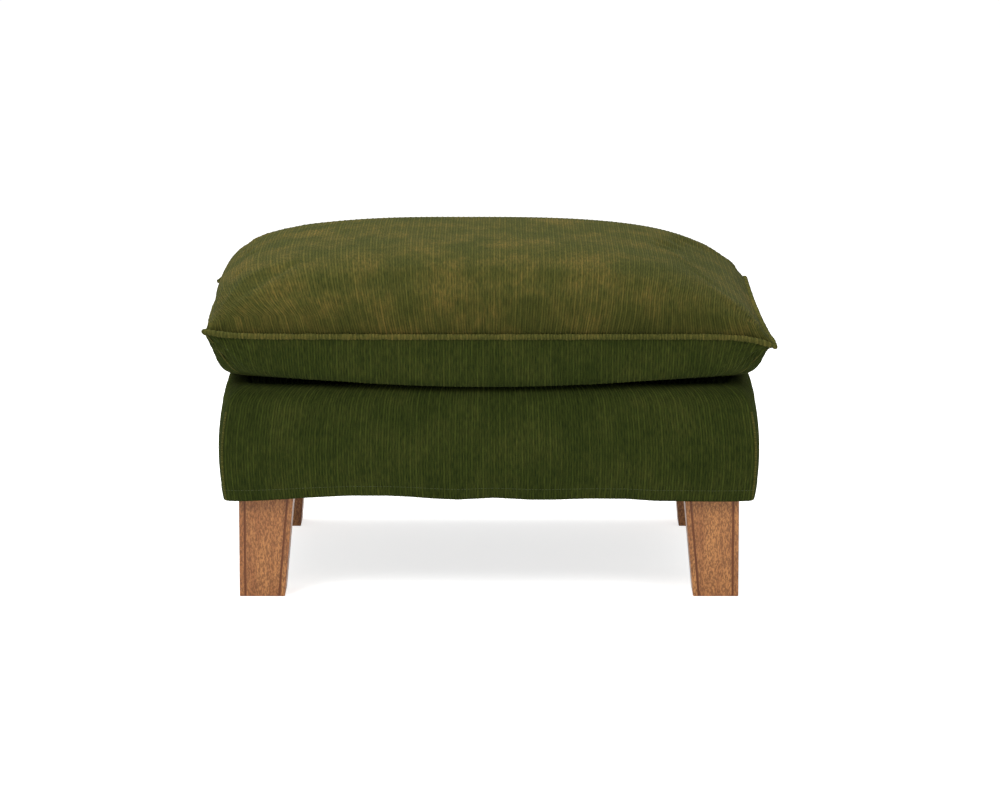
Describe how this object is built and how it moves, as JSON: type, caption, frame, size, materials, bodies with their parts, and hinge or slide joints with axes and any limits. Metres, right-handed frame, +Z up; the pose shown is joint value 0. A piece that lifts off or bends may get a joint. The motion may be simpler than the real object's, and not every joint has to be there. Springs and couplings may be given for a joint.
{
  "type": "upholstered footstool",
  "caption": "Square-cornered footstool: sprung corduroy base on tapered wooden legs, with a loose crowned cushion that lifts off and unzips at the back.",
  "frame": {"origin": "on the floor under the centre of the footstool", "axes": "+X along the long side to the viewer's right, +Y to the back where the zip is, +Z up"},
  "size_m": [0.77, 0.628, 0.4746],
  "materials": {
    "leg_wood": "satin",
    "frame_wood": "matte",
    "fastener_steel": "satin",
    "spring_steel": "satin",
    "corduroy": "matte",
    "corduroy_top": "matte",
    "corduroy_welt": "matte",
    "lining_cloth": "matte",
    "felt": "matte",
    "foam": "matte",
    "wadding": "matte",
    "hook_and_loop": "matte",
    "zip_tape": "matte",
    "zip_coil": "satin",
    "zip_metal": "satin"
  },
  "bodies": {
    "base": {"back_rail": "frame_wood", "base_cover_back": "corduroy", "base_cover_front": "corduroy", "base_cover_left": "corduroy", "base_cover_right": "corduroy", "base_cover_top": "corduroy", "base_padding_back": "foam", "base_padding_front": "foam", "base_padding_left": "foam", "base_padding_right": "foam", "base_top_foam": "foam", "corner_block_back_left": "frame_wood", "corner_block_back_right": "frame_wood", "corner_block_front_left": "frame_wood", "corner_block_front_right": "frame_wood", "corner_block_screws": "fastener_steel", "cover_hook_tapes": "hook_and_loop", "cover_loop_tabs": "hook_and_loop", "dust_cover": "lining_cloth", "dust_cover_staples": "fastener_steel", "frame_screws": "fastener_steel", "front_rail": "frame_wood", "left_rail": "frame_wood", "leg_back_left": "leg_wood", "leg_back_right": "leg_wood", "leg_front_left": "leg_wood", "leg_front_right": "leg_wood", "leg_hanger_bolts": "fastener_steel", "leg_t_nuts": "fastener_steel", "right_rail": "frame_wood", "seat_spring_1": "spring_steel", "seat_spring_2": "spring_steel", "seat_spring_3": "spring_steel", "seat_spring_4": "spring_steel", "seat_spring_5": "spring_steel", "spring_clip_nails": "fastener_steel", "spring_clips": "fastener_steel", "spring_insulator": "felt", "spring_tie_wire": "spring_steel"},
    "cushion": {"cushion_bottom_panel": "corduroy", "cushion_boxing_back": "corduroy", "cushion_boxing_front": "corduroy", "cushion_boxing_left": "corduroy", "cushion_boxing_right": "corduroy", "cushion_foam_core": "foam", "cushion_seam_welt": "corduroy_welt", "cushion_top_panel": "corduroy_top", "cushion_wadding_bottom": "wadding", "cushion_wadding_top": "wadding", "zip_chain": "zip_coil", "zip_end_stops": "zip_metal", "zip_tape_lower": "zip_tape", "zip_tape_upper": "zip_tape"},
    "slider": {"zip_slider": "zip_metal"},
    "pull": {"zip_pull": "zip_metal"}
  },
  "joints": [
    {"name": "cushion_lift", "type": "slide", "parent": "base", "child": "cushion", "axis": [0, 0, 1], "range_m": [0, 0.25]},
    {"name": "zip_slide", "type": "slide", "parent": "cushion", "child": "slider", "axis": [1, 0, 0], "range_m": [-0.5024, 0]},
    {"name": "pull_swing", "type": "hinge", "parent": "slider", "child": "pull", "pos_m": [0.2512, 0.3071, 0.3266], "axis": [1, 0, 0], "range_deg": [0, 170]}
  ]
}
